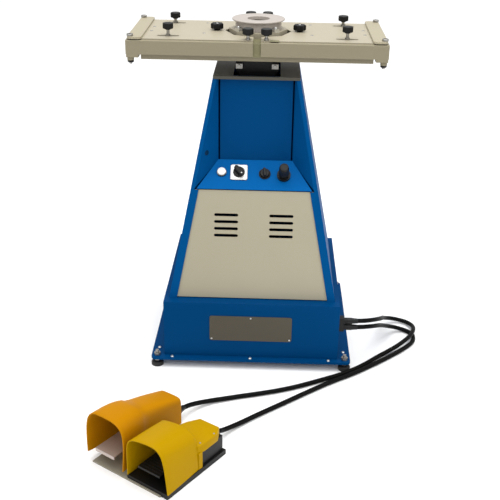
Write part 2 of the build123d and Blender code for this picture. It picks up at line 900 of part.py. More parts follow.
# ---------------------------------------------------------------- cables


def make_cable(name, points):
    """A round cable along straight runs joined by tangent arcs."""
    vectors = [Vector(*p) for p in points]
    radii = []
    for before, here, after in zip(vectors, vectors[1:], vectors[2:]):
        first = here - before
        second = after - here
        half_turn = radians(first.get_angle(second)) / 2
        radii.append(0.45 * min(first.length, second.length) / tan(half_turn))
    print(name, "radii", [round(r) for r in radii])
    start = vectors[1] - vectors[0]
    with BuildPart() as cable:
        with BuildLine() as route:
            FilletPolyline(*points, radius=radii)
        with BuildSketch(Plane(origin=points[0], z_dir=start.normalized())):
            Circle(cable_radius)
        sweep(path=route.line)
    length = sum(edge.length for edge in route.edges())
    share = cable.part.volume / (pi * cable_radius**2 * length)
    print(name, "length", round(length), "volume share", round(share, 4))
    save(cable, name)


floor_z = cable_radius + 0.5

orange_route = [
    (gland_face, gland_y, upper_outlet_z),
    (309.0, gland_y, upper_outlet_z),
    (342.0, -219.0, 150.0),
    (368.0, -186.0, 137.0),
    (386.0, -134.0, 112.0),
    (396.0, -76.0, 82.0),
    (403.0, -24.0, 54.0),
    (416.0, 15.0, 32.0),
    (438.0, 40.0, 18.0),
    (465.0, 46.0, 10.0),
    (490.0, 33.0, 9.0),
    (503.0, 7.0, 12.0),
    (503.5, -23.0, 18.5),
    (495.0, -55.0, 22.5),
    (480.0, -87.0, 22.5),
    (459.0, -115.0, 22.0),
    (434.0, -137.0, 16.0),
    (404.0, -157.0, 8.5),
    (370.0, -188.0, floor_z),
    (323.0, -239.0, floor_z),
    (265.5, -284.0, floor_z),
    (196.0, -323.0, floor_z),
    (126.0, -361.0, floor_z),
    (52.0, -390.0, floor_z),
    (-18.0, -411.0, floor_z),
    pedal_point(98.0, 412.0, floor_z),
    pedal_point(66.0, 364.0, 10.0),
    pedal_point(57.0, 319.0, 22.0),
    pedal_point(56.0, 281.0, 33.0),
    pedal_point(56.0, 250.3, 33.0),
]
yellow_route = [
    (gland_face, gland_y, lower_outlet_z),
    (309.0, gland_y, lower_outlet_z),
    (341.0, -218.0, 129.0),
    (366.0, -184.0, 114.0),
    (384.0, -132.0, 87.0),
    (402.0, -82.0, 58.0),
    (421.0, -40.0, 33.0),
    (447.0, -14.0, 15.0),
    (477.0, -15.0, floor_z),
    (496.0, -36.0, floor_z),
    (499.0, -67.0, floor_z),
    (488.0, -96.0, floor_z),
    (467.0, -122.0, floor_z),
    (440.0, -151.0, floor_z),
    (400.0, -190.0, floor_z),
    (352.0, -233.0, floor_z),
    (294.0, -282.0, floor_z),
    (232.0, -325.0, floor_z),
    (166.0, -379.0, floor_z),
    (98.0, -438.0, floor_z),
    (28.0, -497.0, floor_z),
    (-26.0, -548.0, 9.0),
    (-60.0, -590.0, 20.0),
    pedal_point(196.0, 246.0, 36.0),
    pedal_point(196.0, 216.3, 36.0),
]

# ---------------------------------------------------------------- build

make_feet()
make_base_plate()
make_lower_housing()
make_name_plate()
make_side_plate(-1, "left_side_plate")
make_side_plate(1, "right_side_plate")
make_rear_panel()
make_top_plate()
make_recess_panel()
make_grille_panel()
make_control_shelf()
make_control_bezels()
make_push_button()
make_cam_switch()
make_selector()
make_regulator()
make_press_column()
make_cylinder_and_ram()
make_power_pack()
make_ring()
make_table_bed()
for side, side_name in ((-1, "left"), (1, "right")):
    make_table_half(side, side_name)
    for depth, depth_name, grip_low, grip_top in ((-1, "front", 944.5, 959.5), (1, "rear", 940.0, 954.0)):
        clamp_at = (side * clamp_knob_x, depth * clamp_knob_y)
        make_clamp_knob(*clamp_at, f"{side_name}_{depth_name}_clamp_knob", grip_low, grip_top, 14.0, 905.0)
    for depth, depth_name, grip_top in ((-1, "front", 955.5), (1, "rear", 954.5)):
        centre_at = (side * centre_knob_x, depth * centre_knob_y)
        make_clamp_knob(*centre_at, f"{side_name}_{depth_name}_centre_knob", 940.0, grip_top, 14.6, 919.6)
    make_star_knob(side * star_knob_x, f"{side_name}_star_knob")
make_gland()
make_pedal_plate()
make_pedal_guards()
make_pedal_body("orange_pedal_body", 2.0, 64.0, 64.0, 2.0, False)
make_pedal_body("yellow_pedal_body", 124.0, 226.0, 233.5, 164.0, True)
make_pedal("orange_pedal", 10.0, 56.0, 9.0, 8.0, 70.0, 0.0)
make_pedal("yellow_pedal", 132.0, 218.0, 6.0, 138.0, 206.0, 12.0)
make_pedal_pins([(2.0, 64.0), (124.0, 226.0)])
make_cable("orange_pedal_cable", orange_route)
make_cable("yellow_pedal_cable", yellow_route)
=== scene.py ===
import bpy
import bmesh
import json
import math
from math import cos, pi, radians, sin
from mathutils import Matrix, Vector


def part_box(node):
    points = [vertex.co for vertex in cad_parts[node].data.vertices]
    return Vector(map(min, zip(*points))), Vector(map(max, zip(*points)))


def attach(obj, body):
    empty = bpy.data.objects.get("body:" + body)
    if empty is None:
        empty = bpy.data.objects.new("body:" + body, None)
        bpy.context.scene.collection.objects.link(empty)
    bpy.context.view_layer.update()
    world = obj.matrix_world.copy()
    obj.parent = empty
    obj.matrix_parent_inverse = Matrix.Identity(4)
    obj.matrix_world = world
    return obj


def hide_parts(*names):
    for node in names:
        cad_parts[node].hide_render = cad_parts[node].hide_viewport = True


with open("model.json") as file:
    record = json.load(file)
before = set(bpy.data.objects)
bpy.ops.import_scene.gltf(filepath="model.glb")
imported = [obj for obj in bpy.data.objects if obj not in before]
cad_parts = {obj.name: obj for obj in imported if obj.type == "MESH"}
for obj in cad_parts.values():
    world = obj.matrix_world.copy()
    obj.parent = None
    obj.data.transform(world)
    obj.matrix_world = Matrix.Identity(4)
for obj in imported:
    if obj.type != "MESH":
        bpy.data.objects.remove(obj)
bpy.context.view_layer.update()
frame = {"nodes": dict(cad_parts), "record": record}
print("frame loaded:", len(frame["nodes"]), "nodes")


# ---- shader maths on wrapped sockets

class Sock:
    def __init__(self, shader, link):
        self.shader = shader
        self.link = link

    def math(self, operation, a, b):
        return self.shader.node("ShaderNodeMath", {"operation": operation}, {0: a, 1: b})

    def __add__(self, other):
        return self.math("ADD", self, other)

    __radd__ = __add__

    def __mul__(self, other):
        return self.math("MULTIPLY", self, other)

    __rmul__ = __mul__


class Shader:
    def __init__(self, name):
        self.material = bpy.data.materials.new(name)
        self.material.use_nodes = True
        self.tree = self.material.node_tree
        self.tree.nodes.clear()
        output = self.tree.nodes.new("ShaderNodeOutputMaterial")
        self.surface = self.tree.nodes.new("ShaderNodeBsdfPrincipled")
        self.tree.links.new(self.surface.outputs[0], output.inputs["Surface"])

    def node(self, kind, settings=None, inputs=None, out=0):
        made = self.tree.nodes.new(kind)
        for key, value in (settings or {}).items():
            setattr(made, key, value)
        for key, value in (inputs or {}).items():
            self.feed(made.inputs[key], value)
        return Sock(self, made.outputs[out])

    def feed(self, socket, value):
        if isinstance(value, Sock):
            self.tree.links.new(value.link, socket)
        else:
            socket.default_value = value

    def set(self, **values):
        for key, value in values.items():
            self.feed(self.surface.inputs[key.replace("_", " ")], value)

    def place(self, stretch=(1.0, 1.0, 1.0)):
        spot = self.node("ShaderNodeTexCoord", out="Object")
        return self.node("ShaderNodeMapping", {}, {"Vector": spot, "Scale": stretch})

    def noise(self, scale, detail=2.0, stretch=(1.0, 1.0, 1.0)):
        inputs = {"Vector": self.place(stretch), "Scale": scale, "Detail": detail}
        return self.node("ShaderNodeTexNoise", {}, inputs)

    def tint(self, factor, dark, light):
        settings = {"data_type": "RGBA"}
        return self.node("ShaderNodeMix", settings, {0: factor, 6: (*dark, 1.0), 7: (*light, 1.0)}, out=2)


# What every finish has where its own entry says nothing: how far patches stray from the colour,
# roughness, grain size and its bump, specular level, metal, clear coat and stretch of the grain
usualLook = dict(stray=0.06, rough=0.46, grain=900.0, bump=0.00005, shine=0.5, metal=0.0, coat=0.0,
                 stretch=(1.0, 1.0, 1.0))
# One entry for each finish, with its linear colour
finishes = {
    "bluePaint": dict(color=(0.0002, 0.0451, 0.1509), shine=0.02),
    # lighter copy of the pedestal's blue for the splayed recess cheeks: painted light
    "cheekBluePaintedLight": dict(color=(0.0002, 0.0634, 0.2102), shine=0.02),
    # lighter copy of the pedestal's blue for the upward-facing control shelf: painted light from above
    "shelfBluePaintedLight": dict(color=(0.0004, 0.1008, 0.333), rough=0.42, shine=0.02),
    "recessBlue": dict(color=(0.0002, 0.0488, 0.1638), shine=0.02),
    # the column's top plate is blue paint under the table: this dark grey-brown is painted shade with a
    # painted reflection of the table's cream underside
    "topCapShadeAndReflection": dict(color=(0.066, 0.063, 0.05), stray=0.1, rough=0.5, shine=0.2),
    "creamPaint": dict(color=(0.3488, 0.319, 0.2325), stray=0.04, shine=0.3),
    # darker copy of the table's cream for the frame fronts and the base bar beneath the table top: painted
    # shade
    "apronPaintedShade": dict(color=(0.2254, 0.1978, 0.1306), stray=0.05, shine=0.3),
    "tableTop": dict(color=(0.3441, 0.3069, 0.226), stray=0.05, rough=0.42, grain=700.0, bump=0.00004,
                     shine=0.35),
    "ringPaint": dict(color=(0.3696, 0.3318, 0.2982), stray=0.03, rough=0.32, grain=800.0, bump=0.00003,
                      shine=0.4),
    "endStripPaint": dict(color=(0.3215, 0.2839, 0.1955), stray=0.05, rough=0.4, grain=700.0, bump=0.00004,
                          shine=0.35),
    # olive tone, darkened as painted shade for the centre panel recessed in the gap between the table halves;
    # the stop plate takes it as well
    "olivePaint": dict(color=(0.17, 0.16, 0.085), rough=0.45, shine=0.3),
    "blackPaint": dict(color=(0.007, 0.007, 0.008), stray=0.1, rough=0.42, bump=0.00006, shine=0.2),
    "zincPlate": dict(color=(0.62, 0.62, 0.61), stray=0.08, rough=0.28, grain=600.0, bump=0.00002, metal=1.0),
    "dullZinc": dict(color=(0.3, 0.29, 0.27), stray=0.1, rough=0.34, grain=600.0, bump=0.00002, metal=0.9),
    "groundSteel": dict(color=(0.55, 0.54, 0.53), rough=0.24, grain=500.0, bump=0.00002, metal=1.0),
    "ramSteel": dict(color=(0.42, 0.39, 0.35), rough=0.36, grain=500.0, bump=0.00002, metal=0.25),
    "footRubber": dict(color=(0.009, 0.009, 0.009), stray=0.15, rough=0.7, grain=1200.0, bump=0.00008),
    "knobPlastic": dict(color=(0.005, 0.005, 0.005), stray=0.12, rough=0.42, grain=1500.0, bump=0.00003,
                        shine=0.22),
    "bezelPlastic": dict(color=(0.006, 0.006, 0.006), stray=0.1, rough=0.34, grain=1500.0, bump=0.00002,
                         shine=0.25),
    "lensPlastic": dict(color=(0.84, 0.84, 0.82), stray=0.03, rough=0.16, bump=0.00001, coat=0.6),
    "switchPlate": dict(color=(0.74, 0.74, 0.73), stray=0.03, rough=0.3, bump=0.00001, metal=0.2),
    "plugBlue": dict(color=(0.0002, 0.022, 0.06), rough=0.5, bump=0.00002, shine=0.1),
    "markWhite": dict(color=(0.84, 0.84, 0.81), stray=0.02, rough=0.4, bump=0.00001),
    "namePlate": dict(color=(0.078, 0.068, 0.05), stray=0.1, grain=700.0, bump=0.00004, shine=0.2),
    "pedalPlatePaint": dict(color=(0.26, 0.24, 0.185), stray=0.08, rough=0.5, grain=800.0, bump=0.00006,
                            shine=0.3),
    "orangeCoat": dict(color=(0.4224, 0.176, 0.0009), stray=0.05, rough=0.38, grain=600.0, bump=0.00008,
                       shine=0.03),
    "yellowCoat": dict(color=(0.3871, 0.2236, 0.0004), stray=0.05, rough=0.38, grain=600.0, bump=0.00008,
                       shine=0.03),
    "treadAluminium": dict(color=(0.46, 0.39, 0.35), rough=0.36, grain=500.0, bump=0.00003, metal=0.35,
                           stretch=(0.05, 1.0, 1.0)),
    "cableJacket": dict(color=(0.003, 0.003, 0.0028), stray=0.12, rough=0.5, grain=1500.0, bump=0.00004,
                        shine=0.07),
}


def makeFinish(name, own):
    look = {**usualLook, **own}
    shader = Shader(name)
    stray = look["stray"]
    dark = tuple(c * (1 - stray) for c in look["color"])
    light = tuple(min(1.0, c * (1 + stray)) for c in look["color"])
    patches = shader.noise(7.0, 3.0)
    grain = shader.noise(look["grain"], 2.0, look["stretch"])
    bump = shader.node("ShaderNodeBump", {}, {"Height": grain, "Distance": look["bump"], "Strength": 1.0})
    shader.set(
        Base_Color=shader.tint(patches * 0.7 + grain * 0.3, dark, light),
        Roughness=look["rough"] - 0.05 + 0.10 * shader.noise(23.0, 4.0),
        Metallic=look["metal"],
        Coat_Weight=look["coat"],
        Specular_IOR_Level=look["shine"],
        Coat_Roughness=0.25,
        Normal=bump,
    )
    return shader.material


paints = {name: makeFinish(name, own) for name, own in finishes.items()}
print("finishes made:", len(paints))

# the finish that each of the record's slots takes, and the CAD nodes that take another
slotFinish = {
    "blue_paint": "bluePaint", "cream_paint": "creamPaint", "olive_paint": "olivePaint",
    "black_steel": "blackPaint", "ground_steel": "groundSteel", "zinc": "zincPlate",
    "black_rubber": "footRubber", "black_plastic": "knobPlastic", "white_lens": "lensPlastic",
    "silver_plate": "switchPlate", "dark_plate": "namePlate", "grey_steel": "pedalPlatePaint",
    "orange_plastic": "orangeCoat", "yellow_plastic": "yellowCoat", "pedal_aluminium": "treadAluminium",
    "cable_jacket": "cableJacket",
}
nodeFinish = {
    "foot_studs": "dullZinc", "clamp_blocks": "dullZinc", "ram_rod": "ramSteel", "ring_seat": "tableTop",
    "recess_panel": "recessBlue", "left_side_plate": "cheekBluePaintedLight", "right_side_plate": "cheekBluePaintedLight",
    "control_shelf": "shelfBluePaintedLight", "top_plate": "topCapShadeAndReflection", "base_bar": "apronPaintedShade",
    "orange_pedal_body": "blackPaint",
}
for sideName in ("left", "right"):
    nodeFinish[sideName + "_table_plate"] = "tableTop"
    nodeFinish[sideName + "_table_frame"] = "apronPaintedShade"
    nodeFinish[sideName + "_end_strip"] = "endStripPaint"
for part in frame["record"]["subparts"]:
    node = frame["nodes"][part["node"]]
    finish = nodeFinish.get(part["node"], slotFinish[part["material_slot"]])
    node.data.materials.clear()
    node.data.materials.append(paints[finish])


# ---- making pieces

def piece(name, verts, faces, body, slotName, finish, replaced=(), smooth=35.0):
    mesh = bpy.data.meshes.new(name)
    mesh.from_pydata([tuple(v) for v in verts], [], faces)
    shape = bmesh.new()
    shape.from_mesh(mesh)
    bmesh.ops.recalc_face_normals(shape, faces=shape.faces)
    shape.to_mesh(mesh)
    shape.free()
    for face in mesh.polygons:
        face.use_smooth = True
    mesh.set_sharp_from_angle(angle=radians(smooth))
    made = bpy.data.objects.new(name, mesh)
    bpy.context.scene.collection.objects.link(made)
    made.data.materials.append(paints[finish])
    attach(made, body)
    if replaced:
        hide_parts(*replaced)
    return made


def turned(profile, place, around=48):
    # profile is a list of (height, radius), where a radius may be a function of the angle
    verts = []
    for height, radius in profile:
        for step in range(around):
            angle = 2 * pi * step / around
            reach = radius(angle) if callable(radius) else radius
            verts.append(place @ Vector((reach * cos(angle), reach * sin(angle), height)))
    faces = []
    for ring in range(len(profile) - 1):
        for step in range(around):
            a = ring * around + step
            b = ring * around + (step + 1) % around
            faces.append((a, b, b + around, a + around))
    faces.append(tuple(reversed(range(around))))
    faces.append(tuple(range((len(profile) - 1) * around, len(profile) * around)))
    return verts, faces


def merged(parts):
    verts, faces = [], []
    for someVerts, someFaces in parts:
        base = len(verts)
        verts += someVerts
        faces += [tuple(base + i for i in face) for face in someFaces]
    return verts, faces


def polygonReach(across, corners=6, turn=0.0):
    # distance to a regular polygon's side, for sockets and nuts
    def reach(angle):
        local = (angle + turn) % (2 * pi / corners) - pi / corners
        return across / 2 / cos(local)
    return reach


def ribbed(radius, depth, ribs):
    return lambda angle: radius - depth * (0.5 + 0.5 * cos(ribs * angle))


def at(x, y, z):
    return Matrix.Translation((x, y, z))


def boxParts(low, high, place, edge=0.0006):
    # a block with a small chamfer round its upper edges
    (x0, y0, z0), (x1, y1, z1) = low, high
    verts = []
    for z, inset in ((z0, 0.0), (z1 - edge, 0.0), (z1, edge)):
        for x, y in ((x0 + inset, y0 + inset), (x1 - inset, y0 + inset),
                     (x1 - inset, y1 - inset), (x0 + inset, y1 - inset)):
            verts.append(place @ Vector((x, y, z)))
    faces = [(3, 2, 1, 0), (8, 9, 10, 11)]
    for ring in range(2):
        for k in range(4):
            a = ring * 4 + k
            b = ring * 4 + (k + 1) % 4
            faces.append((a, b, b + 4, a + 4))
    return verts, faces


# ---- view and light

camera = dict(place=(0.0512, -2.5135, 1.4099), turn=-1.47, tilt=24.54, roll=0.92, lens=65.17,
              sensor=36.0, farthest=120.0)


def makeCamera(look):
    turn, tilt, roll = (radians(look[key]) for key in ("turn", "tilt", "roll"))
    ahead = Vector((sin(turn) * cos(tilt), cos(turn) * cos(tilt), -sin(tilt)))
    level = Vector((cos(turn), -sin(turn), 0.0))
    upright = level.cross(ahead)
    right = level * cos(roll) + upright * sin(roll)
    up = upright * cos(roll) - level * sin(roll)
    data = bpy.data.cameras.new("camera")
    data.lens = look["lens"]
    data.sensor_width = look["sensor"]
    data.clip_end = look["farthest"]
    made = bpy.data.objects.new("camera", data)
    axes = Matrix((right, up, -ahead)).transposed().to_4x4()
    made.matrix_world = at(*look["place"]) @ axes
    bpy.context.scene.collection.objects.link(made)
    bpy.context.scene.camera = made


lights = {
    "key": dict(place=(0.2, -2.7, 3.2), size=2.4, power=24.0),
    "fill": dict(place=(2.4, -1.8, 2.4), size=2.2, power=3.0),
    "top": dict(place=(0.2, -0.2, 3.6), size=3.0, power=84.0),
}
sky = dict(low=0.50, high=1.40, strength=1.0)
floorLook = dict(reach=40.0, patch=3.0, dark=(0.93, 0.93, 0.93), light=(0.95, 0.95, 0.95), rough=0.8)
lightsAim = Vector((0.0, -0.1, 0.5))


def makeLights():
    for name, light in lights.items():
        data = bpy.data.lights.new(name, "AREA")
        data.size = light["size"]
        data.energy = light["power"]
        made = bpy.data.objects.new(name, data)
        spot = Vector(light["place"])
        made.location = spot
        made.rotation_euler = (spot - lightsAim).to_track_quat("Z", "Y").to_euler()
        bpy.context.scene.collection.objects.link(made)
    # a pale sky, brighter overhead than at the sides
    world = bpy.data.worlds.new("studio")
    world.use_nodes = True
    nodes, links = world.node_tree.nodes, world.node_tree.links
    direction = nodes.new("ShaderNodeTexCoord")
    parts = nodes.new("ShaderNodeSeparateXYZ")
    level = nodes.new("ShaderNodeMapRange")
    links.new(direction.outputs["Generated"], parts.inputs[0])
    links.new(parts.outputs["Z"], level.inputs["Value"])
    level.inputs["From Min"].default_value = 0.0
    level.inputs["From Max"].default_value = 1.0
    level.inputs["To Min"].default_value = sky["low"]
    level.inputs["To Max"].default_value = sky["high"]
    links.new(level.outputs[0], nodes["Background"].inputs["Color"])
    nodes["Background"].inputs["Strength"].default_value = sky["strength"]
    bpy.context.scene.world = world
    bpy.context.scene.view_settings.view_transform = "Standard"


def makeFloor():
    reach = floorLook["reach"]
    corners = [(-reach, -reach, 0), (reach, -reach, 0), (reach, reach, 0), (-reach, reach, 0)]
    mesh = bpy.data.meshes.new("floor")
    mesh.from_pydata(corners, [], [(0, 1, 2, 3)])
    floor = bpy.data.objects.new("floor", mesh)
    bpy.context.scene.collection.objects.link(floor)
    shader = Shader("floorWhite")
    patches = shader.noise(floorLook["patch"])
    shader.set(Base_Color=shader.tint(patches, floorLook["dark"], floorLook["light"]))
    shader.set(Roughness=floorLook["rough"])
    mesh.materials.append(shader.material)


makeCamera(camera)
makeLights()
makeFloor()
print("camera, lights and floor made")


# ---- pedal frame: u across, v to the rear, z up, from the floor plate's front left corner

pedalUnit = dict(turn=34.5, corner=(-0.372, -0.7085))
pedalPlace = at(*pedalUnit["corner"], 0.0) @ Matrix.Rotation(-radians(pedalUnit["turn"]), 4, "Z")


def pedalPoint(u, v, z):
    return pedalPlace @ Vector((u, v, z))


# ---- cables

cableSize = 0.013
floorZ = 0.007
glandEnds = dict(upper=(0.277, -0.231, 0.153), lower=(0.277, -0.231, 0.133))
boxEnds = dict(orange=(0.056, 0.2503, 0.033), yellow=(0.196, 0.2163, 0.036))
cables = {
    "orange_pedal_cable": dict(length=1.381, route=[
        glandEnds["upper"], (0.309, -0.231, 0.153), (0.342, -0.219, 0.150), (0.368, -0.186, 0.137),
        (0.386, -0.134, 0.112), (0.396, -0.076, 0.082), (0.403, -0.024, 0.054), (0.416, 0.015, 0.032),
        (0.438, 0.040, 0.018), (0.465, 0.046, 0.010), (0.490, 0.033, 0.009), (0.503, 0.007, 0.012),
        (0.5035, -0.023, 0.0185), (0.495, -0.055, 0.0225), (0.480, -0.087, 0.0225), (0.459, -0.115, 0.022),
        (0.434, -0.137, 0.016), (0.404, -0.157, 0.0085), (0.370, -0.188, floorZ), (0.323, -0.239, floorZ),
        (0.2655, -0.284, floorZ), (0.196, -0.323, floorZ), (0.126, -0.361, floorZ), (0.052, -0.390, floorZ),
        (-0.018, -0.411, floorZ), pedalPoint(0.098, 0.412, floorZ), pedalPoint(0.066, 0.364, 0.010),
        pedalPoint(0.057, 0.319, 0.022), pedalPoint(0.056, 0.281, 0.033), pedalPoint(*boxEnds["orange"])]),
    "yellow_pedal_cable": dict(length=1.244, route=[
        glandEnds["lower"], (0.309, -0.231, 0.133), (0.341, -0.218, 0.129), (0.366, -0.184, 0.114),
        (0.384, -0.132, 0.087), (0.402, -0.082, 0.058), (0.421, -0.040, 0.033), (0.447, -0.014, 0.015),
        (0.477, -0.015, floorZ), (0.496, -0.036, floorZ), (0.499, -0.067, floorZ), (0.488, -0.096, floorZ),
        (0.467, -0.122, floorZ), (0.440, -0.151, floorZ), (0.400, -0.190, floorZ), (0.352, -0.233, floorZ),
        (0.294, -0.282, floorZ), (0.232, -0.325, floorZ), (0.166, -0.379, floorZ), (0.098, -0.438, floorZ),
        (0.028, -0.497, floorZ), (-0.026, -0.548, 0.009), (-0.060, -0.590, 0.020),
        pedalPoint(0.196, 0.246, 0.036), pedalPoint(*boxEnds["yellow"])]),
}


def makeCable(name, cable):
    curve = bpy.data.curves.new(name + "_line", "CURVE")
    curve.dimensions = "3D"
    curve.bevel_depth = cableSize / 2
    curve.bevel_resolution = 6
    curve.use_fill_caps = True
    line = curve.splines.new("NURBS")
    line.points.add(len(cable["route"]) - 1)
    for point, spot in zip(line.points, cable["route"]):
        point.co = (*spot, 1.0)
    line.order_u = 3
    line.use_endpoint_u = True
    line.resolution_u = 10
    curve.materials.append(paints["cableJacket"])
    made = bpy.data.objects.new(name + "_jacket", curve)
    bpy.context.scene.collection.objects.link(made)
    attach(made, "press")
    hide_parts(name)


for name, cable in cables.items():
    makeCable(name, cable)


def makeReliefs():
    # tapered sleeves where a cable leaves the gland or enters a switch box
    sleeve = [(0.0, 0.0092), (0.010, 0.0090), (0.013, 0.0082), (0.026, 0.0072), (0.028, 0.0066)]
    for level, spot in glandEnds.items():
        place = at(*spot) @ Matrix.Rotation(pi / 2, 4, "Y")
        piece("gland_" + level + "_relief", *turned(sleeve, place), "press", "black_plastic", "bezelPlastic")
    for colour, spot in boxEnds.items():
        place = pedalPlace @ at(*spot) @ Matrix.Rotation(-pi / 2, 4, "X")
        piece(colour + "_box_relief", *turned(sleeve, place), "press", "black_plastic", "bezelPlastic")


makeReliefs()
print("cables made")


# ---- table knobs

frontClampKnob = dict(radius=0.0140, ribs=30, ribDepth=0.0006, low=0.9445, high=0.9595, foot=0.905)
rearClampKnob = dict(radius=0.0140, ribs=30, ribDepth=0.0006, low=0.9400, high=0.9540, foot=0.905)
frontCentreKnob = dict(radius=0.0146, ribs=30, ribDepth=0.0006, low=0.9400, high=0.9555, foot=0.9196)
rearCentreKnob = dict(radius=0.0146, ribs=30, ribDepth=0.0006, low=0.9400, high=0.9545, foot=0.9196)
starKnob = dict(radius=0.0178, lobes=7, lobeDepth=0.0034, low=0.9285, high=0.9445, foot=0.905)
plateTop = 0.925


def makeRoundKnob(node, knob):
    low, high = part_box(node)
    place = at((low.x + high.x) / 2, (low.y + high.y) / 2, 0.0)
    grip = ribbed(knob["radius"], knob["ribDepth"], knob["ribs"])
    r, z0, z1 = knob["radius"], knob["low"], knob["high"]
    profile = [
        (z0 - 0.0030, 0.0070), (z0 - 0.0002, 0.0074), (z0, r - 0.0010), (z0 + 0.0008, r - 0.0003),
        (z0 + 0.0010, grip), (z1 - 0.0018, grip), (z1 - 0.0016, r - 0.0004), (z1 - 0.0004, r - 0.0010),
        (z1, r - 0.0022), (z1 - 0.0004, r - 0.0050), (z1 - 0.0006, 0.0010),
    ]
    body = node + "_turn"
    piece(node + "_grip", *turned(profile, place, 120), body, "black_plastic", "knobPlastic", [node])
    nut = polygonReach(0.011)
    stud = [(knob["foot"], 0.0036), (knob["foot"] + 0.001, 0.004), (z0 - 0.002, 0.004)]
    lockNut = [(plateTop + 0.0004, nut), (plateTop + 0.0048, nut), (plateTop + 0.0054, 0.0050)]
    metal = merged([turned(p, place, 48) for p in (stud, lockNut)])
    piece(node + "_stud", *metal, body, "zinc", "dullZinc")


def makeStarKnob(node):
    low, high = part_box(node)
    place = at((low.x + high.x) / 2, 0.0, 0.0)
    knob = starKnob

    def lobed(shrink):
        def reach(angle):
            wave = 0.5 + 0.5 * cos(knob["lobes"] * (angle - pi / 2))
            return knob["radius"] - shrink - knob["lobeDepth"] * (1 - wave)
        return reach
    z0, z1 = knob["low"], knob["high"]
    profile = [
        (plateTop + 0.0004, 0.0080), (z0 - 0.0008, 0.0084), (z0, lobed(0.0030)), (z0 + 0.0020, lobed(0.0004)),
        (z0 + 0.0040, lobed(0.0)), (z1 - 0.0040, lobed(0.0)), (z1 - 0.0018, lobed(0.0006)),
        (z1 - 0.0004, lobed(0.0024)), (z1, lobed(0.0050)), (z1, 0.0066), (z1 - 0.0012, 0.0062),
        (z1 - 0.0012, 0.0045),
    ]
    body, foot = node + "_turn", knob["foot"]
    piece(node + "_grip", *turned(profile, place, 112), body, "black_plastic", "knobPlastic", [node])
    stud = [(foot, 0.0036), (foot + 0.001, 0.004), (z1 - 0.0008, 0.004), (z1 - 0.0002, 0.0034)]
    piece(node + "_stud", *turned(stud, place, 32), body, "zinc", "zincPlate")


for sideName in ("left", "right"):
    makeRoundKnob(sideName + "_front_clamp_knob", frontClampKnob)
    makeRoundKnob(sideName + "_rear_clamp_knob", rearClampKnob)
    makeRoundKnob(sideName + "_front_centre_knob", frontCentreKnob)
    makeRoundKnob(sideName + "_rear_centre_knob", rearCentreKnob)
    makeStarKnob(sideName + "_star_knob")
print("knobs made")


# ---- screws and bolts

def socketHead(place, radius, height, across):
    drive = polygonReach(across)
    rim, lead = 0.0008, 0.0003
    return turned([
        (0.0, radius), (height - rim, radius), (height, radius - rim), (height, lambda a: drive(a) + lead),
        (height - lead, drive), (height * 0.45, drive), (height * 0.4, across * 0.2)], place, 48)


def panHead(place, radius):
    drive = polygonReach(radius * 0.7, 4)
    h = radius * 0.55
    return turned([
        (0.0, radius), (h * 0.35, radius * 0.98), (h * 0.75, radius * 0.80), (h * 0.95, radius * 0.55),
        (h, radius * 0.42), (h * 0.7, drive), (h * 0.55, radius * 0.1)], place, 32)


cornerBolt = dict(x=0.334, y=0.134, hexKey=0.0086, hexNut=0.0148)


def makeCornerBolts():
    drive = polygonReach(cornerBolt["hexKey"])
    driveFloor = polygonReach(cornerBolt["hexKey"] - 0.0002)
    nut = polygonReach(cornerBolt["hexNut"])
    for sideName, side in (("left", -1), ("right", 1)):
        heads, nutsAndSocketShade = [], []
        for depth in (-1, 1):
            place = at(side * cornerBolt["x"], depth * cornerBolt["y"], 0.0)
            heads.append(turned([(0.931, 0.0078), (0.9316, 0.0085), (0.9362, 0.0085), (0.937, 0.0078),
                                 (0.937, drive), (0.9345, driveFloor)], place, 48))
            heads.append(turned([(0.858, 0.0034), (0.859, 0.004), (0.9312, 0.004)], place, 32))
            nutsAndSocketShade.append(turned([(0.862, 0.0066), (0.8628, nut), (0.8672, nut), (0.868, 0.0066)], place, 48))
            # a black disc on the hexagon socket's floor: painted shade in the socket
            nutsAndSocketShade.append(turned([(0.9350, driveFloor), (0.9352, driveFloor)], place, 48))
        body = sideName + "_table"
        piece(sideName + "_corner_bolt_set", *merged(heads), body, "black_steel", "dullZinc",
              [sideName + "_corner_bolts"])
        piece(sideName + "_corner_bolt_nuts_and_socket_shade", *merged(nutsAndSocketShade), body, "black_steel", "blackPaint")


baseTop = 0.031
screwHeads = dict(base=0.0055, namePlate=0.0027, lid=0.0026)


